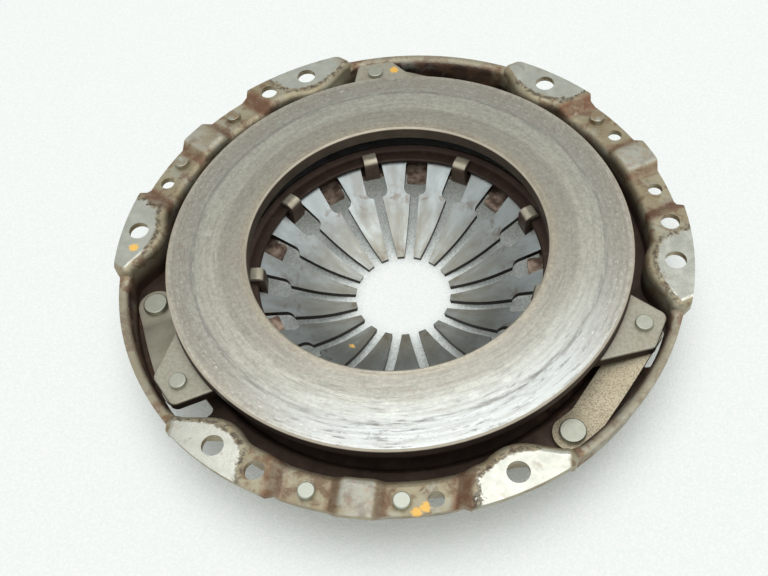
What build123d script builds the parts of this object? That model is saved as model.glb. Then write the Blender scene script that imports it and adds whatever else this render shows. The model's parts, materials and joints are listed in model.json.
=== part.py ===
"""Clutch cover assembly with its pressure plate, unbolted, friction face up.

Origin: on the clutch axis, in the plane of the bolt pads. +Z points to the flywheel.
The -Y axis runs through the middle of flange group 0; groups repeat every 120 degrees.
Angles inside a group are counted from the middle of that group, counter-clockwise.
"""
from build123d import *
import os
from math import acos, asin, cos, degrees, radians, sin, tan

# ---------------------------------------------------------------- driving dimensions (mm, degrees)
group_count = 3              # flange groups, strap pockets and lugs
first_group_angle = -90.0    # middle of group 0

# fits
seat_gap = 0.25              # between pieces that rest on each other at a curved face
flat_gap = 0.05              # between flat faces clamped by a rivet
rivet_fit = 0.08             # radial, rivet shank in its hole
swing_gap = 0.5              # round a piece that moves past another
margin = 1.0                 # how far a cutting shape runs past what it cuts

# plan of the whole: each radius is measured from the one it has to clear
plate_outer_r = 101.0        # friction ring of the pressure plate
wall_clearance = 7.5         # friction ring to the wall behind the flange groups
boss_clearance = 4.4         # friction ring to the bulges of that wall at the bolt holes
pocket_depth = 9.9           # how much further out the wall is in the strap pockets
bolt_inset = 9.5             # wall behind the flange to the bolt circle
spring_inset = 13.0          # edge of the friction ring to the edge of the spring
lever_outer = 19.0           # edge of the spring to the fulcrum
finger_root_inset = 18.0     # fulcrum to the necks of the fingers
group_wall_r = plate_outer_r + wall_clearance
boss_inner_r = plate_outer_r + boss_clearance
pocket_wall_r = group_wall_r + pocket_depth
bolt_circle_r = group_wall_r + bolt_inset
spring_outer_r = plate_outer_r - spring_inset
fulcrum_r = spring_outer_r - lever_outer
neck_r = fulcrum_r - finger_root_inset

# cover sheet and flange
cover_t = 2.7
bolt_angle = 30.0
bolt_hole_d = 9.0
dowel_angle = -20.0
dowel_hole_d = 8.2
recess_depth = 3.7
tab_depth = 1.0
pad_edge = 7.7               # bolt circle to the edge of the pads
rim_edge = 5.4               # bolt circle to the edge of the recesses and pocket rims
tab_edge = 7.1               # bolt circle to the edge of the tabs
pad_end_angle = 42.5         # where lines across the group meet the bolt circle
pad_dowel_angle = -17.3
pad_bolt_angle = 21.3
pad_ramp = 5.8               # length of the slope from a pad to the recess
pad_end_ramp = 1.4           # the same from a pad to the rim of the pocket
tab_half = 6.3
tab_ramp = 4.2
bend_r = 4.4                 # convex sheet bends, on the outside of the bend
press_r = 2.2                # concave sheet bends, on the inside
pad_foot_r = 1.1             # the same at the foot of a pad's end
flange_bend_r = 3.7          # flange and rim into the drawn wall

# drawn cup
boss_r = 17.9                # bulge of the wall round a bolt hole
boss_blend_r = 10.0
pocket_half_angle = 19.5
pocket_corner_r = 8.0
ledge_z = -17.4              # top of the ledge that carries the straps
bowl_gap = 9.5               # spring edge to the bowl under the ledge
bowl_fillet_r = 2.4
access_depth = 15.1          # pocket wall to the inner edge of the access opening
access_from = 68.2
access_to = 79.3
access_lip = 0.7             # ledge left between the opening and the pocket wall
access_corner_r = 3.0

# balance holes and the rivets that are in some of them
balance_angles = (-9.5, 8.25, 14.5)
balance_hole_d = 6.4
balance_rivet_head_d = 6.9
balance_rivet_head_h = 2.5
balance_rivet_tail_d = 8.4
balance_rivet_tail_h = 1.3
balance_rivets = ((0, 0), (0, 1), (1, 2), (2, 0), (2, 1))   # (group, hole)

# diaphragm spring, unbolted
finger_count = 18
first_slot_angle = 10.0
spring_t = 2.3
tip_r = 22.0
tip_slope = 12.8
finger_bend_at = 36.5        # radius where the fingers start to climb
neck_z = -26.7
finger_slope = 29.5
fulcrum_z = -17.3            # top of the spring over the rear ring
cone_slope = 16.0
finger_bend_r = 60.0
cone_bend_r = 24.0
slot_w = 4.4
window_w = 10.6
window_inset = 2.6           # fulcrum to the outer edge of the windows
window_corner_r = 3.0

# fulcrum rings and the hooks folded over them
ring_inset = 5.2             # fulcrum to the inner edge of the front ring
ring_reach = 3.6             # fulcrum to its outer edge
ring_t = 2.2
ring_slope = 8.0             # inside the fulcrum
ring_lip_slope = 27.0        # outside it
ring_bend_r = 5.0
ring_edge_w = 0.6
rear_wire_d = 4.0
hook_every = 2               # windows per hook
hook_first_angle = 30.0
hook_base_w = 7.6
hook_top_w = 6.2
hook_bend_r = 1.8            # inside radius where a hook leaves the floor
hook_fold_r = 1.0            # inside radius of the fold over the ring
hook_reach = 2.6             # how far a fold covers the ring
floor_set_back = 0.2         # front ring to the edge of the floor, outwards
land_length = 6.4            # from the edge of the floor inwards
land_w = 9.2
land_corner_r = 1.2

# pressure plate
face_z = 4.2
plate_band = 19.5            # bore to the ring of lands
face_bevel = 0.9
bore_wall_h = 6.5
rim_h = 5.0
rim_step = 1.9
inner_chamfer = 3.9
land_inset = 3.0             # edge of the spring to the ring of lands that it pushes on
land_top_w = 3.4
land_root_w = 7.0
land_count = 12
land_slot_w = 6.0
land_slot_depth = 3.6
lug_top_z = -1.6
lug_t = 4.6
lug_corner_r = 3.6
lug_lead_root_x = -29.4      # lug corners from its rivet: x along the strap, y outwards
lug_lead_root_y = -9.5
lug_lead_x = -6.9
lug_lead_y = 9.2
lug_trail_x = 9.5
lug_trail_y = 5.4
lug_trail_root_x = 9.8
lug_trail_root_y = -14.0
lug_inside_x = -9.5
lug_inside_y = -22.0
lug_edge_r = 0.7

# drive straps
strap_cover_angle = 45.9
strap_lug_angle = 73.0
strap_end_r = 8.0
strap_end_gap = 0.6          # strap ends to the wall of the pocket
strap_t = 0.7
strap_leaves = 3
strap_bulge = 8.7
strap_waist = 5.7
strap_waist_inset = 9.0
strap_flat = 8.5             # flat length past each rivet centre
strap_bend_r = 16.0
strap_hole_d = 6.4
strap_lug_hole_d = 5.4

# rivets of the straps
cover_rivet_head_d = 10.8
cover_rivet_head_h = 2.4
cover_rivet_tail_d = 10.0
cover_rivet_tail_h = 2.0
lug_rivet_head_d = 7.4
lug_rivet_head_h = 1.9
lug_rivet_tail_d = 9.0
lug_rivet_tail_h = 2.0
head_round = 0.6

# ---------------------------------------------------------------- values that follow from them
step = 360.0 / group_count
same = 0.02                  # how closely a height or radius picks out an edge
flange_under_z = -recess_depth - cover_t
pad_outer_r = bolt_circle_r + pad_edge
rim_outer_r = bolt_circle_r + rim_edge
tab_outer_r = bolt_circle_r + tab_edge
bowl_r = spring_outer_r + bowl_gap
land_r = spring_outer_r - land_inset
plate_inner_r = land_r - plate_band
window_outer_r = fulcrum_r - window_inset
ring_inner_r = fulcrum_r - ring_inset
ring_outer_r = fulcrum_r + ring_reach
finger_clear_r = ring_inner_r + floor_set_back
land_inner_r = finger_clear_r - land_length
strap_r = pocket_wall_r - strap_end_gap - strap_end_r
access_outer_r = pocket_wall_r - access_lip
access_inner_r = pocket_wall_r - access_depth


def rise(angle):
    """Height gained per millimetre on a slope of this angle."""
    return tan(radians(angle))


def polar(radius, angle):
    """A point at this radius, with the angle counted from the middle of group 0."""
    a = radians(first_group_angle + angle)
    return Vector(radius * cos(a), radius * sin(a))


def on_slope(point, slope, r):
    """The point at radius r on the line through a point of the r-z plane."""
    return (r, point[1] + rise(slope) * (r - point[0]))


# top line of the spring, from the tips to the outer edge
neck = (neck_r, neck_z)
fulcrum = (fulcrum_r, fulcrum_z)
finger_bend = on_slope(neck, finger_slope, finger_bend_at)
spring_tip = on_slope(finger_bend, tip_slope, tip_r)
cone_bend_at = (fulcrum_z - neck_z + rise(finger_slope) * neck_r - rise(cone_slope) * fulcrum_r) / (
    rise(finger_slope) - rise(cone_slope))
cone_bend = on_slope(neck, finger_slope, cone_bend_at)
spring_edge = on_slope(fulcrum, cone_slope, spring_outer_r)

# the stack over and under the spring at the fulcrum
cone_t = spring_t / cos(radians(cone_slope))
wire_r = rear_wire_d / 2
wire_z = fulcrum_z - cone_t - (wire_r + seat_gap) / cos(radians(cone_slope))
floor_z = wire_z - wire_r - seat_gap
floor_under_z = floor_z - cover_t
ring_under_z = fulcrum_z + seat_gap
ring_inner_z = on_slope((fulcrum_r, ring_under_z), ring_slope, ring_inner_r)[1]
hook_outer_r = ring_inner_r - swing_gap
ring_top_z = on_slope((ring_inner_r, ring_inner_z + ring_t), ring_slope, ring_inner_r + hook_reach)[1]
fold_under_z = ring_top_z + seat_gap

# the straps between ledge and lug
stack_t = strap_leaves * strap_t + (strap_leaves + 1) * flat_gap
lug_under_z = lug_top_z - lug_t
strap_start = polar(strap_r, strap_cover_angle)
strap_finish = polar(strap_r, strap_lug_angle)
strap_run = strap_finish - strap_start
strap_length = strap_run.length
strap_side = Plane(origin=strap_start, x_dir=strap_run, z_dir=strap_run.cross(Vector(0, 0, 1)))

# ---------------------------------------------------------------- drawn cup outlines
def arc(radius, start, end):
    """An arc about the clutch axis, between two angles of group 0."""
    return ThreePointArc(polar(radius, start), polar(radius, (start + end) / 2), polar(radius, end))


pocket_edge = polar(pocket_wall_r, step / 2 - pocket_half_angle)
boss_axis_r = boss_inner_r + boss_r
boss_axis = polar(boss_axis_r, bolt_angle)
boss_cosine = (boss_axis_r ** 2 + group_wall_r ** 2 - boss_r ** 2) / (2 * boss_axis_r * group_wall_r)
boss_wall_angle = bolt_angle - degrees(acos(boss_cosine))
boss_wall = polar(group_wall_r, boss_wall_angle)
boss_to_edge = pocket_edge - boss_axis
boss_turn = degrees(acos(boss_r / boss_to_edge.length))
boss_touch = boss_axis + boss_to_edge.normalized().rotate(Axis.Z, boss_turn) * boss_r



def across_group(point):
    """The same point on the other side of the middle of group 0."""
    along = polar(1, 0)
    return along * (2 * point.dot(along)) - point


# inner face of the wall over one group, from the middle of a pocket to the middle of the next
with BuildSketch() as group_cup:
    with BuildLine():
        arc(group_wall_r, -boss_wall_angle, boss_wall_angle)
        ThreePointArc(boss_wall, polar(boss_inner_r, bolt_angle), boss_touch)
        Line(boss_touch, pocket_edge)
        arc(pocket_wall_r, step / 2 - pocket_half_angle, step / 2)
        Polyline(polar(pocket_wall_r, step / 2), (0, 0), polar(pocket_wall_r, -step / 2))
        arc(pocket_wall_r, -step / 2, pocket_half_angle - step / 2)
        Line(across_group(pocket_edge), across_group(boss_touch))
        ThreePointArc(across_group(boss_touch), polar(boss_inner_r, -bolt_angle), across_group(boss_wall))
    make_face()
    for corner in (pocket_edge, across_group(pocket_edge)):
        fillet(group_cup.vertices().sort_by_distance(corner)[0], radius=pocket_corner_r)
    for corner in (boss_wall, across_group(boss_wall)):
        fillet(group_cup.vertices().sort_by_distance(corner)[0], radius=boss_blend_r)

with BuildSketch() as cup_inside:
    with PolarLocations(0, group_count):
        add(group_cup.sketch)

with BuildSketch() as cup_outside:
    add(cup_inside.sketch)
    offset(amount=cover_t)

# ---------------------------------------------------------------- flange levels of one group
far = pad_outer_r + margin
pad_end = bolt_circle_r * sin(radians(pad_end_angle))
pad_dowel_start = bolt_circle_r * sin(radians(pad_dowel_angle))
pad_bolt_start = bolt_circle_r * sin(radians(pad_bolt_angle))
left_rim = [(-far, -recess_depth), (-pad_end - pad_end_ramp, -recess_depth)]
pad_dowel_top = [(-pad_end, 0.0), (pad_dowel_start, 0.0)]
recess_left = [(pad_dowel_start + pad_ramp, -recess_depth), (-tab_half - tab_ramp, -recess_depth)]
tab_top = [(-tab_half, -tab_depth), (tab_half, -tab_depth)]
recess_right = [(tab_half + tab_ramp, -recess_depth), (pad_bolt_start - pad_ramp, -recess_depth)]
pad_bolt_top = [(pad_bolt_start, 0.0), (pad_end, 0.0)]
right_rim = [(pad_end + pad_end_ramp, -recess_depth), (far, -recess_depth)]
levels = left_rim + pad_dowel_top + recess_left + tab_top + recess_right + pad_bolt_top + right_rim


def bends(points, outer, inner):
    """The bend radius at each inner point: outer where the line turns down, inner where it turns up."""
    turns = [(b[0] - a[0]) * (c[1] - b[1]) - (b[1] - a[1]) * (c[0] - b[0])
             for a, b, c in zip(points, points[1:], points[2:])]
    return [outer if turn < 0 else inner for turn in turns]


level_bends = bends(levels, bend_r, press_r)
level_bends[0] = level_bends[-1] = pad_foot_r
low_z = floor_under_z - margin
wedge = [polar(0, 0), polar(3 * far, -step / 2), polar(3 * far, step / 2)]

# everything under the upper face of the sheet, for one group
with BuildPart() as under_top:
    with BuildSketch(Plane.XZ):
        with BuildLine():
            FilletPolyline(*levels, radius=level_bends)
            Polyline(levels[-1], (far, low_z), (-far, low_z), levels[0])
        make_face()
    extrude(amount=far)
    with BuildSketch(Plane.XY.offset(low_z)):
        Polygon(*wedge, align=None)
    extrude(amount=-low_z, mode=Mode.INTERSECT)

# the air under the sheet, for one group
with BuildPart() as under_sheet:
    with BuildSketch(Plane.XZ):
        with BuildLine():
            sheet = FilletPolyline(*levels, radius=level_bends)
            offset(sheet, amount=cover_t, side=Side.RIGHT, closed=False, mode=Mode.REPLACE)
            Polyline((far, flange_under_z), (far, low_z), (-far, low_z), (-far, flange_under_z))
        make_face()
    extrude(amount=far)
    with BuildSketch(Plane.XY.offset(low_z)):
        Polygon(*wedge, align=None)
    extrude(amount=-low_z, mode=Mode.INTERSECT)

def across(x, radius):
    """The angle at which a circle about the axis is this far from the middle of the group."""
    return degrees(asin(x / radius))


# flange of one group with its share of the pocket rims, seen from above
pad_corner = across(pad_end, pad_outer_r)
pad_foot = across(pad_end + pad_end_ramp, rim_outer_r)
tab_corner = across(tab_half, tab_outer_r)
tab_foot = across(tab_half + tab_ramp, rim_outer_r)
lobes = [
    (pad_outer_r, -pad_corner, across(pad_dowel_start, pad_outer_r),
     -pad_foot, across(pad_dowel_start + pad_ramp / 2, rim_outer_r)),
    (tab_outer_r, -tab_corner, tab_corner, -tab_foot, tab_foot),
    (pad_outer_r, across(pad_bolt_start, pad_outer_r), pad_corner,
     across(pad_bolt_start - pad_ramp / 2, rim_outer_r), pad_foot),
]
with BuildSketch() as flange:
    with BuildLine():
        arc(rim_outer_r, -step / 2, -pad_foot)
        for radius, start, end, foot_start, foot_end in lobes:
            Line(polar(rim_outer_r, foot_start), polar(radius, start))
            arc(radius, start, end)
            Line(polar(radius, end), polar(rim_outer_r, foot_end))
        for lobe, following in zip(lobes, lobes[1:]):
            arc(rim_outer_r, lobe[4], following[3])
        arc(rim_outer_r, pad_foot, step / 2)
        Polyline(polar(rim_outer_r, step / 2), (0, 0), polar(rim_outer_r, -step / 2))
    make_face()

with BuildPart() as top_limit:
    with PolarLocations(0, group_count):
        add(under_top.part)

with BuildPart() as outside_air:
    with PolarLocations(0, group_count):
        add(under_sheet.part)
    with BuildSketch(Plane.XY.offset(low_z)):
        add(cup_outside.sketch)
    extrude(amount=-low_z, mode=Mode.SUBTRACT)

ledge_under_z = ledge_z - cover_t

# one hook: floor edge, leg through a window of the spring, fold over the ring
hook_r = hook_outer_r - cover_t / 2
hook_low_middle = floor_z - cover_t / 2
hook_high_middle = fold_under_z + cover_t / 2
hook_line = [(fulcrum_r, hook_low_middle), (hook_r, hook_low_middle),
             (hook_r, hook_high_middle), (ring_inner_r + hook_reach, hook_high_middle)]
hook_bends = [hook_bend_r + cover_t / 2, hook_fold_r + cover_t / 2]
hook_low_z = floor_under_z - margin
hook_high_z = fold_under_z + cover_t + margin
with BuildPart() as hook:
    with BuildSketch(Plane.XZ):
        with BuildLine():
            hook_path = FilletPolyline(*hook_line, radius=hook_bends)
            offset(hook_path, amount=cover_t / 2, kind=Kind.TANGENT)
        make_face()
    extrude(amount=hook_base_w, both=True)
    with BuildSketch(Plane.YZ):
        with BuildLine():
            Polyline((-hook_base_w / 2, hook_low_z), (hook_base_w / 2, hook_low_z),
                     (hook_top_w / 2, hook_high_z), (-hook_top_w / 2, hook_high_z), close=True)
        make_face()
    extrude(amount=fulcrum_r, mode=Mode.INTERSECT)

windows = [first_slot_angle + k * 360.0 / finger_count for k in range(finger_count)]
hook_angles = [a for a in windows if round((a - hook_first_angle) * finger_count / 360.0) % hook_every == 0]
land_angles = [a for a in windows if a not in hook_angles]
balance_hole_r = balance_hole_d / 2


def at_angles(radius, angles):
    """Places on a circle about the clutch axis, each turned to face outwards."""
    return Locations(*[Plane.XY.rotated((0, 0, a)) * Location((radius, 0, 0)) for a in angles])


groups = [first_group_angle + k * step for k in range(group_count)]
bolt_places = [g + s * bolt_angle for g in groups for s in (-1, 1)]
dowel_places = [g + dowel_angle for g in groups]
balance_places = [g + a for g in groups for a in balance_angles]
cover_rivet_places = [g + strap_cover_angle for g in groups]
lug_rivet_places = [g + strap_lug_angle for g in groups]

with BuildSketch() as access:
    with BuildLine():
        arc(access_outer_r, access_from, access_to)
        arc(access_inner_r, access_to, access_from)
        Line(polar(access_outer_r, access_from), polar(access_inner_r, access_from))
        Line(polar(access_outer_r, access_to), polar(access_inner_r, access_to))
    make_face()
    fillet(access.vertices(), radius=access_corner_r)

with BuildPart() as cover:
    with BuildSketch(Plane.XY.offset(ledge_under_z)):
        add(cup_outside.sketch)
    extrude(amount=-ledge_under_z)
    with BuildSketch(Plane.XY.offset(flange_under_z)):
        with PolarLocations(0, group_count):
            add(flange.sketch)
    extrude(amount=-flange_under_z)
    with BuildSketch(Plane.XY.offset(floor_under_z)):
        Circle(bowl_r + cover_t)
    extrude(amount=ledge_under_z - floor_under_z)
    add(top_limit.part, mode=Mode.INTERSECT)
    add(outside_air.part, mode=Mode.SUBTRACT)
    with BuildSketch(Plane.XY.offset(ledge_z)):
        add(cup_inside.sketch)
    extrude(amount=-ledge_z, mode=Mode.SUBTRACT)
    with BuildSketch(Plane.XY.offset(floor_z)):
        Circle(bowl_r)
    extrude(amount=ledge_z - floor_z, mode=Mode.SUBTRACT)
    # bend along the inner edge of the flange and the rims
    walls = [f for f in cover.faces() if abs(f.normal_at().Z) < same
             and abs(f.bounding_box().min.Z - ledge_z) < same]
    top_edges = [e for f in walls for e in f.edges() if e.bounding_box().min.Z > -recess_depth - same]
    fillet(top_edges, radius=flange_bend_r)
    # bends of the ledge and the floor
    ledge_rim = [e for e in cover.edges() if abs(e.bounding_box().max.Z - ledge_under_z) < same
                 and abs(e.bounding_box().min.Z - ledge_under_z) < same
                 and (e @ 0).length > Vector(bowl_r + cover_t + margin, ledge_under_z).length]
    fillet(ledge_rim, radius=bowl_fillet_r)
    round_edges = cover.edges().filter_by(GeomType.CIRCLE)
    bowl_edges = [e for e in round_edges if abs(e.radius - bowl_r) < same
                  or abs(e.radius - bowl_r - cover_t) < same]
    fillet(bowl_edges, radius=bowl_fillet_r)
    # floor opening, hooks and lands
    with BuildSketch(Plane.XY.offset(floor_under_z)):
        Circle(finger_clear_r)
    extrude(amount=cover_t, mode=Mode.SUBTRACT)
    with at_angles(0, hook_angles):
        add(hook.part)
    with BuildSketch(Plane.XY.offset(floor_under_z)):
        with at_angles(0, land_angles):
            with Locations(((land_inner_r + fulcrum_r) / 2, 0)):
                RectangleRounded(fulcrum_r - land_inner_r, land_w, land_corner_r)
    extrude(amount=cover_t)
    # holes
    with at_angles(bolt_circle_r, bolt_places):
        Hole(bolt_hole_d / 2, depth=3 * cover_t)
    with at_angles(bolt_circle_r, dowel_places):
        Hole(dowel_hole_d / 2, depth=3 * cover_t)
    with at_angles(bolt_circle_r, balance_places):
        Hole(balance_hole_r, depth=4 * cover_t)
    with Locations((0, 0, ledge_z)):
        with at_angles(strap_r, cover_rivet_places):
            Hole(strap_hole_d / 2, depth=2 * cover_t)
    with BuildSketch(Plane.XY.offset(ledge_under_z - margin)):
        with PolarLocations(0, group_count):
            add(access.sketch)
    extrude(amount=cover_t + 2 * margin, mode=Mode.SUBTRACT)
cover.part.label = "cover"

# ---------------------------------------------------------------- diaphragm spring and its rings
under_tips_z = spring_tip[1] - 2 * spring_t
with BuildPart() as spring:
    with BuildSketch(Plane.XZ):
        with BuildLine():
            crown = FilletPolyline(spring_tip, finger_bend, cone_bend, spring_edge,
                                   radius=[finger_bend_r, cone_bend_r])
            offset(crown, amount=spring_t, side=Side.RIGHT)
        make_face()
    revolve(axis=Axis.Z)
    with BuildSketch(Plane.XY.offset(under_tips_z)):
        Circle(tip_r)
        with at_angles(0, windows):
            with Locations((neck_r / 2, 0)):
                Rectangle(neck_r + 2 * margin, slot_w)
            with Locations(((neck_r + window_outer_r) / 2, 0)):
                RectangleRounded(window_outer_r - neck_r, window_w, window_corner_r)
    extrude(amount=-under_tips_z, mode=Mode.SUBTRACT)
spring.part.label = "diaphragm_spring"

with BuildPart() as front_ring:
    with BuildSketch(Plane.XZ) as front_ring_section:
        with BuildLine():
            ring_line = FilletPolyline(
                (ring_inner_r, ring_inner_z), (fulcrum_r, ring_under_z),
                on_slope((fulcrum_r, ring_under_z), ring_lip_slope, ring_outer_r), radius=ring_bend_r)
            offset(ring_line, amount=ring_t, side=Side.LEFT)
        make_face()
        ring_ends = front_ring_section.vertices().sort_by(Axis.X)
        chamfer(ring_ends[:2] + ring_ends[-2:], length=ring_edge_w)
    revolve(axis=Axis.Z)
front_ring.part.label = "front_fulcrum_ring"

with BuildPart() as rear_ring:
    with BuildSketch(Plane.XZ):
        with Locations((fulcrum_r, wire_z)):
            Circle(wire_r)
    revolve(axis=Axis.Z)
rear_ring.part.label = "rear_fulcrum_ring"

# ---------------------------------------------------------------- pressure plate
land_z = on_slope(fulcrum, cone_slope, land_r + land_top_w / 2)[1] + seat_gap
bore_under_z = face_z - bore_wall_h
rim_under_z = face_z - rim_h
body_outer_r = plate_outer_r - rim_step
body_inner_r = plate_inner_r + inner_chamfer


def strap_point(x, y):
    """A point in the strap's frame: x along the strap from its cover rivet, y outwards."""
    outwards = strap_run.cross(Vector(0, 0, 1)).normalized()
    return strap_start + strap_run.normalized() * x + outwards * y


with BuildSketch() as lug:
    with BuildLine():
        Polyline(strap_point(strap_length + lug_lead_root_x, lug_lead_root_y),
                 strap_point(strap_length + lug_lead_x, lug_lead_y),
                 strap_point(strap_length + lug_trail_x, lug_trail_y),
                 strap_point(strap_length + lug_trail_root_x, lug_trail_root_y),
                 strap_point(strap_length + lug_inside_x, lug_inside_y), close=True)
    make_face()
    fillet(lug.vertices().sort_by_distance((0, 0))[-2:], radius=lug_corner_r)

lug_shank_r = strap_lug_hole_d / 2 - rivet_fit
with BuildPart() as plate:
    with BuildSketch(Plane.XZ):
        with BuildLine():
            Polyline(
                (plate_inner_r, bore_under_z), (plate_inner_r, face_z - face_bevel),
                (plate_inner_r + face_bevel, face_z), (plate_outer_r - face_bevel, face_z),
                (plate_outer_r, face_z - face_bevel), (plate_outer_r, rim_under_z),
                (body_outer_r, rim_under_z - rim_step), (body_outer_r, lug_under_z),
                (land_r + land_root_w / 2, lug_under_z), (land_r + land_top_w / 2, land_z),
                (land_r - land_top_w / 2, land_z), (land_r - land_root_w / 2, lug_under_z),
                (body_inner_r + inner_chamfer, lug_under_z), (body_inner_r, bore_under_z), close=True)
        make_face()
    revolve(axis=Axis.Z)
    with BuildSketch(Plane.XY.offset(lug_under_z)):
        with PolarLocations(0, group_count):
            add(lug.sketch)
    extrude(amount=lug_t)
    lug_tops = [f for f in plate.faces().filter_by(GeomType.PLANE) if abs(f.center().Z - lug_top_z) < same]
    lug_rims = [e for f in lug_tops for e in f.edges() if e.center().length > plate_outer_r + swing_gap]
    fillet(lug_rims, radius=lug_edge_r)
    with BuildSketch(Plane.XY.offset(land_z)):
        with PolarLocations(land_r, land_count):
            Rectangle(2 * land_root_w, land_slot_w)
    extrude(amount=land_slot_depth, mode=Mode.SUBTRACT)
    with Locations((0, 0, lug_top_z)):
        with at_angles(strap_r, lug_rivet_places):
            Hole(lug_shank_r + rivet_fit, depth=2 * lug_t)
plate.part.label = "pressure_plate"

# ---------------------------------------------------------------- drive straps
cover_end_out = strap_point(0, strap_end_r)
cover_end_in = strap_point(0, -strap_end_r)
lug_end_out = strap_point(strap_length, strap_end_r)
lug_end_in = strap_point(strap_length, -strap_end_r)
with BuildSketch() as strap_outline:
    with BuildLine():
        ThreePointArc(cover_end_out, strap_point(strap_length / 2, strap_bulge), lug_end_out)
        ThreePointArc(lug_end_out, strap_point(strap_length + strap_end_r, 0), lug_end_in)
        Polyline(lug_end_in, strap_point(strap_length - strap_waist_inset, -strap_waist),
                 strap_point(strap_waist_inset, -strap_waist), cover_end_in)
        ThreePointArc(cover_end_in, strap_point(-strap_end_r, 0), cover_end_out)
    make_face()

leaves = []
for k in range(strap_leaves):
    low_end = ledge_z + flat_gap + k * (strap_t + flat_gap)
    high_end = lug_under_z - (strap_leaves - k) * (strap_t + flat_gap)
    with BuildPart() as leaf:
        with BuildSketch(strap_side):
            with BuildLine():
                leaf_line = FilletPolyline(
                    (-2 * strap_end_r, low_end), (strap_flat, low_end),
                    (strap_length - strap_flat, high_end), (strap_length + 2 * strap_end_r, high_end),
                    radius=strap_bend_r)
                offset(leaf_line, amount=strap_t, side=Side.LEFT)
            make_face()
        extrude(amount=2 * strap_end_r, both=True)
        with BuildSketch(Plane.XY.offset(low_z)):
            add(strap_outline.sketch)
        extrude(amount=-low_z, mode=Mode.INTERSECT)
        with Locations(strap_start):
            Hole(strap_hole_d / 2, depth=2 * -low_z)
        with Locations(strap_finish):
            Hole(strap_lug_hole_d / 2, depth=2 * -low_z)
    leaves.append(leaf)


# ---------------------------------------------------------------- rivets
def rivet(place, low_z, high_z, shank_d, head_d, head_h, tail_d, tail_h):
    """A set rivet through what lies between two heights, with its head on top."""
    with BuildPart() as piece:
        with BuildSketch(Plane.XZ) as section:
            with BuildLine():
                Polyline((0, low_z - tail_h), (tail_d / 2, low_z - tail_h), (tail_d / 2, low_z),
                         (shank_d / 2, low_z), (shank_d / 2, high_z), (head_d / 2, high_z),
                         (head_d / 2, high_z + head_h), (0, high_z + head_h), close=True)
            make_face()
            crown_corner = section.vertices().sort_by(Axis.Y)[-2:].sort_by(Axis.X)[-1]
            fillet(crown_corner, radius=head_round)
        revolve(axis=Axis.Z)
    return piece.part.moved(Location((place.X, place.Y, 0)))


def spin(radius, group, angle):
    """The point of a group at this radius and angle."""
    return polar(radius, group * step + angle)


fasteners = {}
letters = "abc"
for g in range(group_count):
    fasteners["strap_rivet_" + letters[g]] = rivet(
        spin(strap_r, g, strap_cover_angle), ledge_under_z, ledge_z + stack_t - flat_gap,
        strap_hole_d - 2 * rivet_fit, cover_rivet_head_d, cover_rivet_head_h,
        cover_rivet_tail_d, cover_rivet_tail_h)
    fasteners["lug_rivet_" + letters[g]] = rivet(
        spin(strap_r, g, strap_lug_angle), lug_under_z - stack_t, lug_top_z,
        2 * lug_shank_r, lug_rivet_head_d, lug_rivet_head_h, lug_rivet_tail_d, lug_rivet_tail_h)
for k, (g, hole) in enumerate(balance_rivets):
    fasteners["balance_rivet_" + str(k + 1)] = rivet(
        spin(bolt_circle_r, g, balance_angles[hole]), flange_under_z, -recess_depth,
        balance_hole_d - 2 * rivet_fit, balance_rivet_head_d, balance_rivet_head_h,
        balance_rivet_tail_d, balance_rivet_tail_h)

# ---------------------------------------------------------------- write the pieces
os.makedirs("parts", exist_ok=True)
for piece in (cover, spring, front_ring, rear_ring, plate):
    export_step(piece.part, "parts/" + piece.part.label + ".step")
for k, leaf in enumerate(leaves):
    for g in range(group_count):
        turned = leaf.part.rotate(Axis.Z, g * step)
        turned.label = "drive_strap_" + letters[g] + "_leaf_" + str(k + 1)
        export_step(turned, "parts/" + turned.label + ".step")
for name, piece in fasteners.items():
    piece.label = name
    export_step(piece, "parts/" + name + ".step")
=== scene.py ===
"""The dress of the clutch pressure plate: procedural finishes, floor, light and camera.

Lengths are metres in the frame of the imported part. Inside the materials they are millimetres,
and angles are degrees: `around` counts round the clutch axis from the middle of the nearest
flange group, counter-clockwise seen from above. Colours are linear. A share is a number or a
socket that runs from 0 to 1.
"""
import bpy
import json
from math import cos, pi, radians, sin
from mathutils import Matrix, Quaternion, Vector


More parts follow.
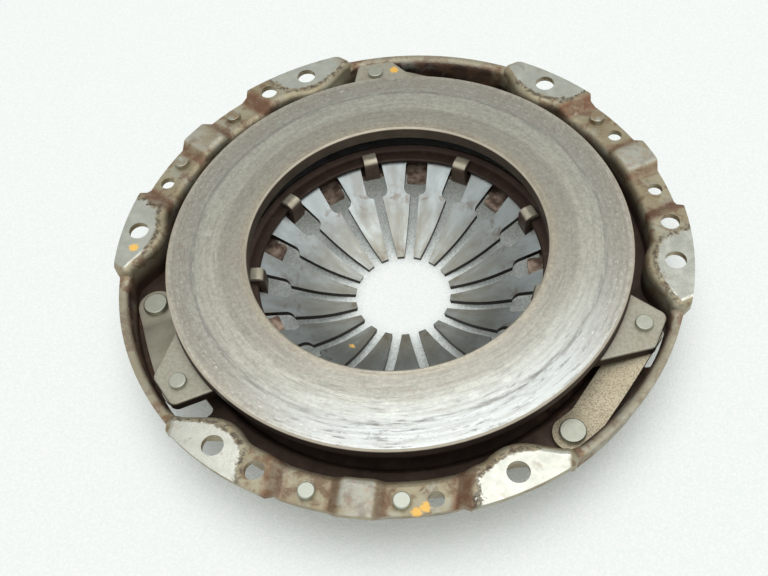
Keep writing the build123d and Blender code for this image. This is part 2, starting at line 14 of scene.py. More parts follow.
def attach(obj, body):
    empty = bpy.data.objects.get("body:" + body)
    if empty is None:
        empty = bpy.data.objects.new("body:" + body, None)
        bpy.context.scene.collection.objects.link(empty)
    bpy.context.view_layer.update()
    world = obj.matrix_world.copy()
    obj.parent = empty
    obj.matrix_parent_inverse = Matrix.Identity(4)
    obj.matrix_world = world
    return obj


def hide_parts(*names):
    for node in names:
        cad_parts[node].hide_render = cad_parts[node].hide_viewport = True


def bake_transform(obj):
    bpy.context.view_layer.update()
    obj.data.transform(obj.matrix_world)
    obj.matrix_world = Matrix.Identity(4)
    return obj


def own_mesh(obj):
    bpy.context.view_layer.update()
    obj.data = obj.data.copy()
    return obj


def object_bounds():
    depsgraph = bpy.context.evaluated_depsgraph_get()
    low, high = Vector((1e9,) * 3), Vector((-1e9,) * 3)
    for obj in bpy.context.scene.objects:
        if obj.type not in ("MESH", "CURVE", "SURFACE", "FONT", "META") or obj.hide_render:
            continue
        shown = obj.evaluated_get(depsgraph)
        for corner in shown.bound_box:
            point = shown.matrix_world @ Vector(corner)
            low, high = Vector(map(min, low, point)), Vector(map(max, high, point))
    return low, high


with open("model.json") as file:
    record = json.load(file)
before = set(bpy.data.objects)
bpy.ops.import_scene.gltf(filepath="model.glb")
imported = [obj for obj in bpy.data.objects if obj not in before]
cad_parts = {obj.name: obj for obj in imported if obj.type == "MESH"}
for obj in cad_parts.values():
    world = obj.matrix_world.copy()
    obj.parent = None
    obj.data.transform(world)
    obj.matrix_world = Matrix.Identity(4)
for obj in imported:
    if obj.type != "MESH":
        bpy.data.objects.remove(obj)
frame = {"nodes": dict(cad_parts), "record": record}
cad_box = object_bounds()
nodes = frame["nodes"]
MM = 0.001
GROUPS = 3                   # flange groups, and straps
PITCH = 360.0 / GROUPS       # degrees from one to the next
FIRST_GROUP = -90.0          # direction of the middle of one of them

# ---------------------------------------------------------------- view
PHOTO_WIDTH = 768
FOCAL_PIXELS = 1024.3
SENSOR_MM = 36.0
CAMERA_AT = Vector((63.0, -266.3, 352.2)) * MM
CAMERA_TARGET = Vector((-2.37, -23.35, 0.0)) * MM
CAMERA_ROLL = 8.86           # degrees


def build_camera():
    data = bpy.data.cameras.new("camera")
    data.sensor_width = SENSOR_MM
    data.lens = SENSOR_MM * FOCAL_PIXELS / PHOTO_WIDTH
    data.clip_start = 0.01
    camera = bpy.data.objects.new("camera", data)
    bpy.context.scene.collection.objects.link(camera)
    camera.location = CAMERA_AT
    camera.rotation_mode = "QUATERNION"
    turn = Quaternion((0, 0, 1), radians(-CAMERA_ROLL))
    camera.rotation_quaternion = (CAMERA_TARGET - CAMERA_AT).to_track_quat("-Z", "Y") @ turn
    bpy.context.scene.camera = camera


# ---------------------------------------------------------------- material nodes
class Finish:
    """A principled material, with short calls for the nodes that it is made of."""

    def __init__(self, name):
        self.material = bpy.data.materials.new(name)
        self.material.use_nodes = True
        self.tree = self.material.node_tree
        self.shader = self.tree.nodes["Principled BSDF"]
        place = self.node("ShaderNodeTexCoord").outputs["Object"]
        self.place = self.vector("SCALE", place, scale=1 / MM)
        self.x, self.y, self.z = self.node("ShaderNodeSeparateXYZ", Vector=self.place).outputs
        flat = self.pack(self.x, self.y, 0.0)
        self.radius = self.vector("LENGTH", flat)
        self.outwards = self.vector("NORMALIZE", flat)
        facing = self.node("ShaderNodeNewGeometry").outputs["True Normal"]
        self.up = self.node("ShaderNodeSeparateXYZ", Vector=facing).outputs["Z"]
        self.out = self.vector("DOT_PRODUCT", facing, self.outwards)

    def node(self, kind, settings=(), **inputs):
        made = self.tree.nodes.new(kind)
        for key, value in dict(settings).items():
            setattr(made, key, value)
        for key, value in inputs.items():
            self.put(made.inputs[key], value)
        return made

    def put(self, socket, value):
        if isinstance(value, bpy.types.NodeSocket):
            self.tree.links.new(value, socket)
        elif value is not None:
            socket.default_value = value

    def pack(self, x, y, z):
        return self.node("ShaderNodeCombineXYZ", X=x, Y=y, Z=z).outputs[0]

    def vector(self, operation, a, b=None, scale=None):
        made = self.node("ShaderNodeVectorMath", {"operation": operation})
        for socket, value in zip(made.inputs, (a, b, None, scale)):
            self.put(socket, value)
        return made.outputs[1 if operation in ("LENGTH", "DISTANCE", "DOT_PRODUCT") else 0]

    def math(self, operation, a, b=None, c=None):
        made = self.node("ShaderNodeMath", {"operation": operation})
        for socket, value in zip(made.inputs, (a, b, c)):
            self.put(socket, value)
        return made.outputs[0]

    def chain(self, operation, first, *others):
        for other in others:
            first = self.math(operation, first, other)
        return first

    def times(self, *values):
        return self.chain("MULTIPLY", *values)

    def plus(self, *values):
        return self.chain("ADD", *values)

    def minus(self, a, b):
        return self.math("SUBTRACT", a, b)

    def least(self, *values):
        return self.chain("MINIMUM", *values)

    def most(self, *values):
        return self.chain("MAXIMUM", *values)

    def noise(self, size, where=None, detail=3.0, rough=0.55, warp=0.0):
        """Noise from 0 to 1 whose features are about this many millimetres across."""
        made = self.node("ShaderNodeTexNoise", Vector=where or self.place, Scale=1.0 / size,
                         Detail=detail, Roughness=rough, Distortion=warp)
        return made.outputs["Fac"]

    def streaks(self, radial, around, detail=3.0, rough=0.55):
        """Noise drawn out round the axis, with one scale along the radius and one round it."""
        unit = self.vector("SCALE", self.outwards, scale=around)
        spread = self.node("ShaderNodeSeparateXYZ", Vector=unit).outputs
        where = self.pack(spread["X"], spread["Y"], self.times(self.radius, radial))
        return self.noise(1.0, where, detail, rough)

    def grain(self, size):
        """A distance pattern of separate specks, 0 at the middle of each."""
        made = self.node("ShaderNodeTexVoronoi", Vector=self.place, Scale=1.0 / size)
        return made.outputs["Distance"]

    def sway(self, noise, span):
        """The noise laid about 0, with this span from its lowest to its highest."""
        return self.times(self.minus(noise, 0.5), span)

    def step(self, value, low, high, start=0.0, end=1.0):
        """Turns smoothly from start to end as the value goes from low to high."""
        made = self.node("ShaderNodeMapRange", {"interpolation_type": "SMOOTHSTEP"}, Value=value)
        limits = {"From Min": low, "From Max": high, "To Min": start, "To Max": end}
        for name, number in limits.items():
            self.put(made.inputs[name], number)
        return made.outputs["Result"]

    def fade(self, value, low, high, start=1.0):
        """Turns smoothly from start to 0 as the value goes from low to high."""
        return self.step(value, low, high, start, 0.0)

    def band(self, value, low, high, soft):
        """1 between low and high, 0 outside, with soft edges."""
        return self.times(self.step(value, low - soft, low + soft),
                          self.fade(value, high - soft, high + soft))

    def mix(self, share, a, b):
        made = self.node("ShaderNodeMix", {"data_type": "RGBA"})
        self.put(made.inputs["Factor"], share)
        self.put(made.inputs["A"], rgba(a))
        self.put(made.inputs["B"], rgba(b))
        return made.outputs["Result"]

    def tone(self, value, stops):
        """A colour that changes with the value: each stop is a value and the colour there."""
        color = stops[0][1]
        for (low, _), (high, next_color) in zip(stops, stops[1:]):
            color = self.mix(self.step(value, low, high), color, next_color)
        return color

    def group_angle(self):
        """Degrees from the middle of the nearest flange group."""
        angle = self.times(self.math("ARCTAN2", self.y, self.x), 180 / pi)
        shifted = self.plus(angle, PITCH / 2 - FIRST_GROUP)
        return self.minus(self.math("FLOORED_MODULO", shifted, PITCH), PITCH / 2)

    def dab(self, point, size, ragged=0.5):
        """1 on a small ragged spot round a point."""
        away = self.vector("DISTANCE", self.place, point)
        wander = self.sway(self.noise(size * 0.45, detail=5.0), ragged * size * 3)
        return self.fade(self.plus(away, wander), size * 0.6, size)

    def finish(self, color, metallic, roughness, height, depth):
        """Sets the shader. Height is relief from 0 to 1, depth its size."""
        self.put(self.shader.inputs["Base Color"], rgba(color))
        self.put(self.shader.inputs["Metallic"], metallic)
        self.put(self.shader.inputs["Roughness"], roughness)
        bump = self.node("ShaderNodeBump", Height=height, Distance=depth * MM, Strength=1.0)
        self.put(self.shader.inputs["Normal"], bump.outputs[0])
        return self.material


def rgba(value):
    return (*value, 1.0) if isinstance(value, tuple) and len(value) == 3 else value


RUST = (0.205, 0.108, 0.062)
PAINT = (0.95, 0.56, 0.12)


# ---------------------------------------------------------------- pressure plate
# heights and radii between which one look gives way to another
FACE_Z = 4.2                 # the friction face
FACE_ABOVE = (4.14, 4.18)
EDGE_ABOVE = (3.2, 3.6)      # the edges of the face
RIM_ABOVE = (-3.0, -0.8)
BORE_WITHIN = (71.0, 72.0)
LUG_BEYOND = (101.2, 101.8)
LUG_ABOVE = (-2.9, -1.9)
CALM_RING = (78.5, 90.5, 3.0)    # the middle of the face, free of brown clouds
LINE_RING = (88.2, 90.0, 0.7)    # a dark worn line
SPARK_RING = (91.5, 98.0, 1.5)   # bright flecks are densest here
# radius, and the tone that the face has reached there
FACE_TONES = (
    (67.5, (0.54, 0.49, 0.375)),
    (70.0, (0.49, 0.47, 0.39)),
    (76.5, (0.47, 0.46, 0.39)),
    (79.0, (0.60, 0.59, 0.50)),
    (87.0, (0.60, 0.59, 0.505)),
    (89.5, (0.55, 0.54, 0.465)),
    (92.0, (0.485, 0.47, 0.41)),
    (97.5, (0.49, 0.465, 0.39)),
    (99.5, (0.66, 0.625, 0.52)),
)
GROOVE = (0.30, 0.275, 0.235)
PIT = (0.22, 0.19, 0.175)
HAZE = (0.40, 0.345, 0.295)
BROWN_SPOT = (0.33, 0.265, 0.225)
# a painted reflection on the friction face
PAINTED_REFLECTION = (0.68, 0.725, 0.73)
PAINTED_REFLECTION_AT = (36.0, -82.0, FACE_Z)     # middle of a painted bluish reflection
PAINTED_REFLECTION_FADE = (32.0, 104.0)       # distance from there over which it fades
MARK = (0.20, 0.19, 0.175)
LINE = (0.26, 0.255, 0.24)
SPARK = (0.86, 0.87, 0.84)
PALE_DAB = (0.95, 0.94, 0.88)
PALE_DABS_AT = ((10.3, -82.9, FACE_Z), (40.0, -73.3, FACE_Z),
                (52.2, -65.3, FACE_Z), (-83.9, -2.6, FACE_Z))
PALE_DAB_SIZE = 2.2
CAST = (0.022, 0.015, 0.012), (0.085, 0.055, 0.043)      # pairs: the darkest and the palest
TURNED = (0.06, 0.043, 0.033), (0.17, 0.135, 0.10)
RIM = (0.035, 0.024, 0.02), (0.12, 0.085, 0.07)
LUG = (0.365, 0.34, 0.265), (0.435, 0.415, 0.34)
EDGE = (0.50, 0.42, 0.32), (0.78, 0.72, 0.60)
LUG_BROWN = (0.34, 0.26, 0.17)
LUG_PAINT_AT = (-15.8, 110.0, -1.6)
LUG_PAINT_SIZE = 2.3


def plate_iron():
    """Machined cast iron: the friction face worn in rings, the rest dark with rust."""
    f = Finish("plate_iron")
    mottle = f.noise(1.6, detail=4.0, rough=0.65)
    cloud = f.noise(16.0, detail=5.0, rough=0.62)
    ring_at = f.plus(f.radius, f.sway(cloud, 3.0))
    rings = f.streaks(0.75, 3.0, detail=6.0, rough=0.65)
    broken = f.streaks(0.85, 9.0, detail=6.0, rough=0.72)
    flecks = f.streaks(1.5, 42.0, detail=4.0, rough=0.7)
    face = f.tone(ring_at, FACE_TONES)
    face = f.mix(f.fade(rings, 0.30, 0.70, 0.42), face, GROOVE)
    face = f.mix(f.fade(mottle, 0.36, 0.62, 0.34), face, PIT)
    # brown and violet clouds near both edges
    edges = f.minus(1.0, f.band(ring_at, *CALM_RING))
    face = f.mix(f.times(edges, f.step(cloud, 0.46, 0.68, end=0.45)), face, HAZE)
    speckle = f.noise(2.6, detail=5.0, rough=0.7, warp=0.5)
    face = f.mix(f.times(edges, f.step(speckle, 0.54, 0.64, end=0.5)), face, BROWN_SPOT)
    # a painted reflection: a bright bluish patch on one side, where broken dark marks are
    # strongest
    painted_reflection = f.times(f.fade(f.vector("DISTANCE", f.place, PAINTED_REFLECTION_AT), *PAINTED_REFLECTION_FADE),
                    f.step(f.radius, 73.0, 94.0, 0.12), f.step(rings, 0.25, 0.6, 0.45))
    face = f.mix(f.times(painted_reflection, 0.75), face, PAINTED_REFLECTION)
    clumps = f.step(f.streaks(0.12, 5.0), 0.36, 0.58, 0.15)
    ragged = f.plus(broken, f.sway(mottle, 0.28))
    marks = f.times(f.step(ragged, 0.50, 0.64), clumps, f.plus(f.times(painted_reflection, 0.45), 0.32))
    face = f.mix(marks, face, MARK)
    line = f.times(f.band(ring_at, *LINE_RING), f.step(broken, 0.38, 0.56), 0.65)
    face = f.mix(line, face, LINE)
    outer = f.band(ring_at, *SPARK_RING)
    sparks = f.times(f.step(flecks, 0.56, 0.72), f.plus(f.times(outer, 0.45), 0.28))
    face = f.mix(sparks, face, SPARK)
    for point in PALE_DABS_AT:
        face = f.mix(f.times(f.dab(point, PALE_DAB_SIZE, 0.3), 0.18), face, PALE_DAB)
    # everything below the face
    cast = f.mix(f.noise(3.0, detail=6.0), *CAST)
    turned = f.mix(f.noise(7.0, detail=5.0), *TURNED)
    rim = f.mix(f.noise(9.0, detail=5.0), *RIM)
    body = f.mix(f.fade(f.radius, *BORE_WITHIN), f.mix(f.step(f.z, *RIM_ABOVE), cast, rim), turned)
    lug = f.mix(f.step(f.noise(1.3, detail=4.0, rough=0.65), 0.35, 0.62), *LUG)
    lug = f.mix(f.step(f.noise(8.0, detail=5.0), 0.5, 0.75, end=0.4), lug, LUG_BROWN)
    lug = f.mix(f.dab(LUG_PAINT_AT, LUG_PAINT_SIZE), lug, PAINT)
    body = f.mix(f.times(f.step(f.radius, *LUG_BEYOND), f.step(f.z, *LUG_ABOVE)), body, lug)
    edge = f.mix(f.noise(6.0, detail=4.0), *EDGE)
    body = f.mix(f.step(f.z, *EDGE_ABOVE), body, edge)
    on_face = f.step(f.z, *FACE_ABOVE)
    face_roughness = f.plus(f.step(rings, 0.2, 0.8, 0.38, 0.29), f.times(marks, 0.2))
    return f.finish(
        color=f.mix(on_face, body, face),
        metallic=f.step(on_face, 0.0, 1.0, 0.7),
        roughness=f.plus(f.times(on_face, face_roughness), f.times(f.minus(1.0, on_face), 0.52)),
        height=f.plus(f.times(ragged, 0.6), f.times(flecks, 0.4)), depth=0.07)


# ---------------------------------------------------------------- cover
# places in a flange group: degrees from its middle, or millimetres across from its middle
RIM_BEYOND = (42.5, 45.0)            # degrees: the rim of a strap pocket
PAD_ENDS = (41.2, 46.5, 1.2)         # degrees
WORN_ENDS = (36.5, 41.0)             # degrees
BOLT = 30.0                          # degrees
DOWEL_BOLT = -30.0                   # degrees: the bolt hole on the dowel side
PAD_SLOPES = (-36.5, -28.0, 2.0), (35.5, 43.5, 2.0)
TAB_SLOPES = (-12.0, -7.2, 1.2), (7.2, 12.0, 1.2)
TAB = (-6.6, 6.6, 1.0)
TAB_ABOVE = (-1.6, -1.2)
SLOPES_ABOVE = (-5.0, -3.9)
PAD_ABOVE = (-0.32, -0.06)
SCUFF_ABOVE = (-1.6, -0.5)
HOOKS_WITHIN = (72.0, 73.0)          # radii: hooks and lands
FOLD_ABOVE = (-14.4, -13.2)
LEG_ABOVE = (-24.5, -23.8)
FLAT_BELOW = (-24.0, -23.0)          # the tops of the lands
# the bright contact of a pad: its inner outline is a curve about each bolt hole
CONTACT_R = 110.2                    # the outline's radius next to the hole
CONTACT_CURVE = 0.11                 # millimetres outwards for each squared degree from there
DOWEL_REACH = 5.2                    # degrees from that hole towards the middle: the curve ends
BARE_MIDDLE = 4.0                    # across: no contact within BARE_HALF of this
BARE_HALF = 41.5
DOWEL_LIMIT = -47.0                  # across: on the dowel side, contact only beyond this
FAR = 200.0                          # lifts a limit out of the way on the other side

OLIVE = (0.43, 0.39, 0.275), (0.33, 0.27, 0.17)
GREYER = (0.41, 0.42, 0.36)
BROWN = (0.225, 0.145, 0.088)
OUTER_BROWN = (0.24, 0.18, 0.125)
RIM_GREY = (0.35, 0.32, 0.25)
RIM_BROWN = (0.22, 0.165, 0.12)
TAB_BLUE = (0.48, 0.49, 0.45)
TAB_BLUSH = (0.42, 0.27, 0.19)
GRIT = (0.58, 0.555, 0.46)
# painted shade for the inner walls: the darkest and the palest
WALL_SHADE = (0.035, 0.022, 0.017), (0.14, 0.092, 0.068)
DARK_RUST = (0.17, 0.095, 0.06)
DUST = (0.36, 0.37, 0.33)
FOLD = (0.44, 0.39, 0.28), (0.66, 0.62, 0.50)
# painted shade on the legs of the hooks: the darkest and the palest
LEG_SHADE = (0.07, 0.047, 0.035), (0.18, 0.13, 0.095)
LAND = (0.16, 0.105, 0.08), (0.48, 0.36, 0.28)
WORN = (0.49, 0.49, 0.425), (0.66, 0.665, 0.60)
WORN_BROWN = (0.36, 0.30, 0.235)
WORN_END = (0.33, 0.23, 0.15)
RUBBED = (0.40, 0.37, 0.31)
SCUFF = (0.075, 0.06, 0.05)
COVER_PAINT = (                      # where each dab is, and its size
    ((-117.6, -9.6, 0.0), 2.6),
    ((25.8, -117.8, -3.7), 2.4),
    ((22.9, -120.2, -3.7), 2.3),
)


def cover_steel():
    """Pressed sheet with brown staining, scuffed bright where the pads met the flywheel."""
    f = Finish("cover_steel")
    around = f.group_angle()
    away = f.math("ABSOLUTE", around)
    across = f.times(f.radius, f.math("SINE", f.times(around, pi / 180)))
    stain = f.noise(15.0, detail=5.0, rough=0.6)
    patch = f.noise(6.5, detail=5.0, rough=0.62, warp=0.4)
    grit = f.noise(1.4, detail=4.0, rough=0.65)
    base = f.mix(f.step(stain, 0.34, 0.66), *OLIVE)
    base = f.mix(f.step(f.noise(11.0, detail=4.0), 0.5, 0.7, end=0.55), base, GREYER)
    # stains; on the outside of the wall the small ones are faint, and wide ones lie low
    outer = f.step(f.out, 0.3, 0.8)
    base = f.mix(f.times(f.step(patch, 0.50, 0.62, end=0.8), f.step(outer, 0.0, 1.0, 1.0, 0.25)),
                 base, BROWN)
    wide = f.step(f.noise(30.0, detail=6.0, rough=0.6), 0.42, 0.66, end=0.6)
    base = f.mix(f.times(outer, f.step(f.z, -4.0, -5.5), wide), base, OUTER_BROWN)
    pocket_rim = f.step(away, *RIM_BEYOND)
    base = f.mix(f.times(pocket_rim, f.step(grit, 0.3, 0.6, 0.8, 0.4)), base, RIM_GREY)
    base = f.mix(f.times(pocket_rim, f.step(patch, 0.50, 0.62, end=0.25)), base, RIM_BROWN)
    ends = f.times(f.band(away, *PAD_ENDS), f.step(f.noise(5.0, detail=5.0), 0.38, 0.56, end=0.8))
    base = f.mix(ends, base, RUST)
    # rust on the slopes between the levels
    slopes = f.plus(*(f.band(across, *slope) for slope in PAD_SLOPES))
    tab_slopes = f.plus(*(f.band(across, *slope) for slope in TAB_SLOPES))
    slopes = f.times(f.plus(slopes, f.times(tab_slopes, 0.75)), f.step(f.z, *SLOPES_ABOVE),
                     f.step(f.noise(7.0, detail=5.0), 0.25, 0.62, 0.25))
    base = f.mix(slopes, base, RUST)
    # the tab is cleaner and bluer
    tab = f.times(f.band(across, *TAB), f.step(f.z, *TAB_ABOVE), f.step(stain, 0.7, 0.4))
    base = f.mix(f.times(tab, 0.6), base, TAB_BLUE)
    blush = f.step(f.noise(3.0, detail=5.0, rough=0.7), 0.52, 0.62, end=0.5)
    base = f.mix(f.times(tab, blush), base, TAB_BLUSH)
    base = f.mix(f.step(grit, 0.55, 0.75, end=0.35), base, GRIT)
    # painted shade: the inner walls and the ledge are painted darker downwards, and the rolled rim
    # of a pocket is painted dark inside where it turns away from above; rust and dust lie over it
    painted_shade = f.fade(f.plus(f.z, f.times(patch, 4.0)), -11.5, -4.0)
    painted_shade = f.most(painted_shade, f.times(pocket_rim, f.fade(f.up, 0.60, 0.93)))
    painted_shade = f.times(painted_shade, f.most(f.fade(f.up, 0.93, 0.98), f.fade(f.z, -9.0, -6.0)))
    inside = f.fade(f.minus(f.out, f.up), -0.3, 0.3)
    wall_shade_rust_and_dust = f.mix(f.noise(5.0, detail=5.0), *WALL_SHADE)
    wall_shade_rust_and_dust = f.mix(f.times(pocket_rim, f.step(patch, 0.46, 0.6, end=0.7)), wall_shade_rust_and_dust, DARK_RUST)
    dust = f.times(f.step(f.noise(9.0, detail=5.0, warp=0.5), 0.55, 0.72),
                   f.step(f.z, -16.0, -9.0), 0.7)
    wall_shade_rust_and_dust = f.mix(dust, wall_shade_rust_and_dust, DUST)
    base = f.mix(f.times(painted_shade, inside), base, wall_shade_rust_and_dust)
    # hooks bright on the fold, with painted shade on the leg; lands rusty
    fold = f.mix(f.noise(2.5, detail=4.0), *FOLD)
    leg_shade = f.mix(f.noise(3.0, detail=5.0), *LEG_SHADE)
    land = f.mix(f.step(f.noise(4.0, detail=5.0), 0.35, 0.65), *LAND)
    hook = f.mix(f.step(f.z, *FOLD_ABOVE), f.mix(f.step(f.z, *LEG_ABOVE), land, leg_shade), fold)
    flat = f.times(f.step(f.up, 0.9, 0.98), f.fade(f.z, *FLAT_BELOW))
    middle = f.times(f.fade(f.radius, *HOOKS_WITHIN), f.step(f.up, -0.9, -0.6))
    base = f.mix(middle, base, f.mix(flat, hook, land))
    # bright contact on the pads, with a ragged edge
    from_dowel_bolt = f.most(f.minus(DOWEL_BOLT, around), -DOWEL_REACH)
    outline = f.least(*(f.times(f.math("POWER", degrees, 2.0), CONTACT_CURVE)
                        for degrees in (f.minus(around, BOLT), from_dowel_bolt)))
    ragged = f.sway(f.noise(2.0, detail=5.0, rough=0.7), 4.0)
    coarse = f.sway(f.noise(5.0, detail=6.0, rough=0.7), 16.0)
    from_outline = f.plus(f.minus(f.radius, f.plus(outline, CONTACT_R)), ragged)
    from_slope = f.minus(f.math("ABSOLUTE", f.plus(across, -BARE_MIDDLE)), BARE_HALF)
    past_dowel = f.plus(f.times(ragged, 1.5), f.minus(DOWEL_LIMIT, across))
    other_side = f.times(f.step(across, -1.0, 1.0), FAR)
    inside_by = f.least(from_outline, f.plus(from_slope, coarse), f.plus(other_side, past_dowel))
    bright = f.times(f.step(inside_by, 0.0, 1.0), f.step(f.z, *PAD_ABOVE))
    worn = f.mix(f.noise(4.0, detail=5.0), *WORN)
    worn = f.mix(f.step(f.noise(9.0, detail=5.0, warp=0.8), 0.58, 0.72, end=0.6), worn, WORN_BROWN)
    worn_end = f.times(f.step(away, *WORN_ENDS), f.step(patch, 0.44, 0.58, end=0.7))
    worn = f.mix(worn_end, worn, WORN_END)
    worn = f.mix(f.fade(f.grain(1.2), 0.1, 0.3, 0.35), worn, RUBBED)
    base = f.mix(bright, base, worn)
    scuff = f.times(f.band(inside_by, -1.9, 0.3, 0.7), f.step(f.z, *SCUFF_ABOVE),
                    f.step(f.noise(2.4, detail=5.0, rough=0.7), 0.42, 0.56), 0.8)
    base = f.mix(scuff, base, SCUFF)
    paint = f.most(*(f.dab(point, size) for point, size in COVER_PAINT))
    relief = f.plus(grit, f.times(patch, 0.8))
    return f.finish(
        color=f.mix(paint, base, PAINT),
        metallic=f.times(f.plus(f.times(bright, 0.38), 0.62), f.minus(1.0, paint)),
        roughness=f.minus(f.step(patch, 0.4, 0.7, 0.44, 0.62), f.times(bright, 0.19)),
        height=f.times(relief, f.step(bright, 0.0, 1.0, 1.0, 0.25)), depth=0.09)


# ---------------------------------------------------------------- spring, rings, straps, rivets
SPRING_TONES = (                     # by radius, from the tips of the fingers outwards
    (26.0, (0.33, 0.325, 0.28)),
    (40.0, (0.34, 0.345, 0.315)),
    (54.0, (0.37, 0.40, 0.40)),
)
BLUE_SMEAR = (0.49, 0.54, 0.55)
BROWN_SMEAR = (0.25, 0.225, 0.185)
SPRING_CLOUD = (0.28, 0.25, 0.205)
SPRING_BROWN = (0.19, 0.14, 0.10)
SPRING_SPECK = (0.22, 0.20, 0.175)
PAINTED_SLOT_SHADE = (0.045, 0.038, 0.034)
ROOTS = (47.0, 55.0, 3.0)            # radii with brown stains
TIPS_WITHIN = (23.0, 31.0)
SPRING_PAINT_AT = (-18.8, -32.8, -35.0)
SPRING_PAINT_SIZE = 2.1
RING = (0.032, 0.019, 0.014), (0.095, 0.058, 0.043)
RING_SPOT = (0.16, 0.125, 0.10)
RING_PAINTED_SHADE = (0.02, 0.013, 0.011)
STRAP = (0.38, 0.355, 0.27), (0.47, 0.44, 0.355)
STRAP_WARM = (0.50, 0.43, 0.29)
STRAP_SPECK = (0.20, 0.145, 0.09)
RIVET = (0.36, 0.36, 0.29), (0.52, 0.53, 0.45)
RIVET_SPOT = (0.34, 0.33, 0.25)
BALANCE = (0.50, 0.52, 0.45)
BALANCE_BROWN = (0.34, 0.26, 0.17)
BALANCE_SPOT = (0.30, 0.27, 0.20)


def spring_steel():
    """Peened spring steel: bluish outwards, browner at tips and roots, with painted shade on its
    upright faces, the walls of the slots.
    """
    f = Finish("spring_steel")
    cloud = f.noise(11.0, detail=5.0, rough=0.6)
    smear = f.streaks(0.06, 7.0, detail=4.0, rough=0.58)
    color = f.tone(f.radius, SPRING_TONES)
    color = f.mix(f.step(smear, 0.46, 0.68, end=0.5), color, BLUE_SMEAR)
    color = f.mix(f.step(smear, 0.50, 0.34, end=0.35), color, BROWN_SMEAR)
    color = f.mix(f.step(cloud, 0.50, 0.70, end=0.45), color, SPRING_CLOUD)
    stained = f.plus(f.band(f.radius, *ROOTS), f.fade(f.radius, *TIPS_WITHIN))
    stains = f.step(f.noise(5.0, detail=5.0, warp=0.6), 0.50, 0.66, end=0.6)
    color = f.mix(f.times(stained, stains), color, SPRING_BROWN)
    color = f.mix(f.step(f.noise(1.8, detail=4.0), 0.58, 0.75, end=0.3), color, SPRING_SPECK)
    # painted shade on the upright faces, the walls of the slots
    color = f.mix(f.fade(f.math("ABSOLUTE", f.up), 0.5, 0.7), color, PAINTED_SLOT_SHADE)
    paint = f.dab(SPRING_PAINT_AT, SPRING_PAINT_SIZE)
    return f.finish(
        color=f.mix(paint, color, PAINT), metallic=f.minus(1.0, paint),
        roughness=f.step(smear, 0.3, 0.7, 0.46, 0.38),
        height=f.noise(0.9, detail=3.0), depth=0.03)


def ring_steel():
    """Dark brown wire, with painted shade on the sides that face down or sideways."""
    f = Finish("ring_steel")
    color = f.mix(f.noise(5.0, detail=5.0), *RING)
    color = f.mix(f.step(f.noise(2.0, detail=3.0), 0.6, 0.75, end=0.4), color, RING_SPOT)
    # painted shade on the sides that face down or sideways
    color = f.mix(f.fade(f.up, 0.15, 0.7, 0.75), color, RING_PAINTED_SHADE)
    relief = f.noise(1.5, detail=4.0)
    return f.finish(color, metallic=0.6, roughness=0.45, height=relief, depth=0.06)


def strap_steel():
    """Dull strap with fine brown specks, most of them on the strap towards +X and -Y."""
    f = Finish("strap_steel")
    color = f.mix(f.step(f.noise(12.0, detail=4.0), 0.35, 0.65), *STRAP)
    speckled = f.times(f.step(f.x, 20.0, 60.0), f.step(f.y, 20.0, -10.0, end=0.9))
    color = f.mix(f.times(speckled, 0.6), color, STRAP_WARM)
    specks = f.step(f.noise(0.6, detail=3.0, rough=0.6), 0.46, 0.60)
    color = f.mix(f.times(specks, f.plus(f.times(speckled, 0.6), 0.12)), color, STRAP_SPECK)
    relief = f.noise(0.9, detail=4.0)
    return f.finish(color, metallic=0.8, roughness=0.46, height=relief, depth=0.05)


def rivet_steel():
    """Pale plating with faint brown spots."""
    f = Finish("rivet_steel")
    color = f.mix(f.noise(3.0, detail=4.0), *RIVET)
    color = f.mix(f.step(f.noise(1.4, detail=4.0), 0.58, 0.72, end=0.5), color, RIVET_SPOT)
    relief = f.noise(0.8, detail=3.0)
    return f.finish(color, metallic=0.9, roughness=0.38, height=relief, depth=0.05)


def balance_steel():
    """Dull rivets, browned on the side of the part towards +Y."""
    f = Finish("balance_steel")
    browned = f.times(f.step(f.y, 10.0, 60.0), f.step(f.noise(3.5, detail=5.0), 0.3, 0.6))
    color = f.mix(browned, BALANCE, BALANCE_BROWN)
    color = f.mix(f.step(f.noise(1.2, detail=4.0), 0.56, 0.72, end=0.4), color, BALANCE_SPOT)
    relief = f.noise(0.9, detail=4.0)
    return f.finish(color, metallic=0.85, roughness=0.4, height=relief, depth=0.05)


makers = (plate_iron, cover_steel, spring_steel, ring_steel, strap_steel, rivet_steel,
          balance_steel)
finishes = {make.__name__: make() for make in makers}
slot_of = {part["node"]: part["material_slot"] for part in frame["record"]["subparts"]}
for name, piece in nodes.items():
    piece.data.materials.clear()
    piece.data.materials.append(finishes[slot_of[name]])


def flexing_copy(node):
    """A copy of a node that stands for it in the scene and may change its shape."""
    copy = bpy.data.objects.new(node + "_flexing", nodes[node].data.copy())
    bpy.context.scene.collection.objects.link(copy)
    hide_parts(node)
    return copy


spring = flexing_copy("diaphragm_spring")
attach(spring, "cover")
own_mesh(spring)
for index, group in enumerate("abc"):
    for leaf in (1, 2, 3):
        strap = flexing_copy("drive_strap_%s_leaf_%d" % (group, leaf))
        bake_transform(strap)


# ---------------------------------------------------------------- floor, light
FLOOR_HALF = 12.0                    # metres
FLOOR_COLOR = (0.95, 0.985, 0.965)
FLOOR_DIP = (0.885, 0.935, 0.91)     # the dark end of its speckle in the open
PAINTED_SHADOW_UNDER = (0.66, 0.73, 0.69)       # and under the part, where it is a painted shadow
FLOOR_SPECK = (0.99, 1.0, 0.99)
# The floor shows a share of its own colour, and for the rest what light it catches, with the
# part's shadow. Under the part the share is small. It changes between the radii of each pair;
# where it rises again, in the hole at the finger tips and beyond the part, the light and the
# fading edge of the shadow are painted.
SHOWN_UNDER = 0.10
SHOWN_OPEN = 0.85
OPEN_WITHIN = (16.0, 30.0)           # under the hole at the finger tips, where the raised share is painted light
OPEN_BEYOND = (112.0, 145.0)
PAINTED_SHADOW_WITHIN = (92.0, 108.0)


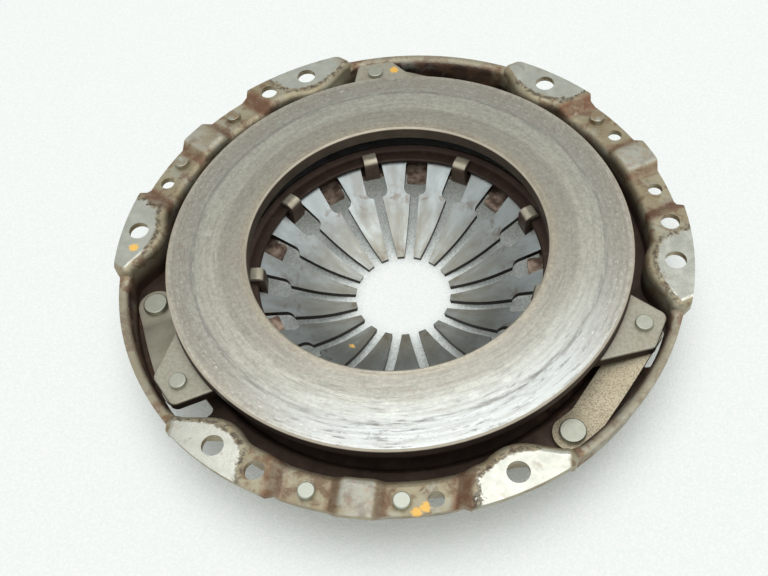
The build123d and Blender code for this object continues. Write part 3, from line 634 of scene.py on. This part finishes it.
def build_floor():
    low = cad_box[0][2]
    mesh = bpy.data.meshes.new("floor")
    signs = ((-1, -1), (1, -1), (1, 1), (-1, 1))
    corners = [(x * FLOOR_HALF, y * FLOOR_HALF, low) for x, y in signs]
    mesh.from_pydata(corners, [], [(0, 1, 2, 3)])
    floor = bpy.data.objects.new("floor", mesh)
    bpy.context.scene.collection.objects.link(floor)
    f = Finish("floor_finish")
    speck = f.noise(1.1, detail=4.0, rough=0.7)
    painted_shadow_zone = f.times(f.step(f.radius, *OPEN_WITHIN), f.fade(f.radius, *OPEN_BEYOND))
    # a painted shadow: the floor's speckle is darker under the part
    color = f.mix(f.times(painted_shadow_zone, f.fade(f.radius, *PAINTED_SHADOW_WITHIN)), FLOOR_DIP, PAINTED_SHADOW_UNDER)
    color = f.mix(f.step(speck, 0.36, 0.64), color, FLOOR_COLOR)
    color = f.mix(f.times(f.fade(f.grain(1.7), 0.12, 0.5), 0.8), color, FLOOR_SPECK)
    mesh.materials.append(f.finish(color, metallic=0.0, roughness=0.6, height=speck, depth=0.6))
    path = f.node("ShaderNodeLightPath").outputs
    seen = f.most(path["Is Camera Ray"], path["Is Glossy Ray"], path["Is Transmission Ray"])
    # the share paints light in the hole at the finger tips and the fading edge of the shadow
    # beyond the part
    share = f.plus(f.times(painted_shadow_zone, SHOWN_UNDER - SHOWN_OPEN), SHOWN_OPEN)
    own = f.node("ShaderNodeEmission", Color=color)
    look = f.node("ShaderNodeMixShader", Fac=f.times(seen, share))
    f.tree.links.new(f.shader.outputs[0], look.inputs[1])
    f.tree.links.new(own.outputs[0], look.inputs[2])
    f.tree.links.new(look.outputs[0], f.tree.nodes["Material Output"].inputs["Surface"])


WORLD_COLOR = (0.97, 1.0, 0.98)
WORLD_STRENGTH = 0.66
PANEL_AT = Vector((0.12, -0.075, 1.0))
PANEL_SIZE = 1.02
PANEL_DEPTH = 1.25
PANEL_RADIANCE = 1.38


def build_light():
    world = bpy.data.worlds.new("studio")
    world.use_nodes = True
    sky = world.node_tree.nodes["Background"]
    sky.inputs["Color"].default_value = rgba(WORLD_COLOR)
    sky.inputs["Strength"].default_value = WORLD_STRENGTH
    bpy.context.scene.world = world
    data = bpy.data.lights.new("panel", "AREA")
    data.shape = "RECTANGLE"
    data.size = PANEL_SIZE
    data.size_y = PANEL_DEPTH
    data.energy = pi * PANEL_RADIANCE * PANEL_SIZE * PANEL_DEPTH
    panel = bpy.data.objects.new("panel", data)
    panel.location = PANEL_AT
    bpy.context.scene.collection.objects.link(panel)


build_camera()
build_floor()
build_light()
bpy.context.scene.view_settings.view_transform = "Standard"
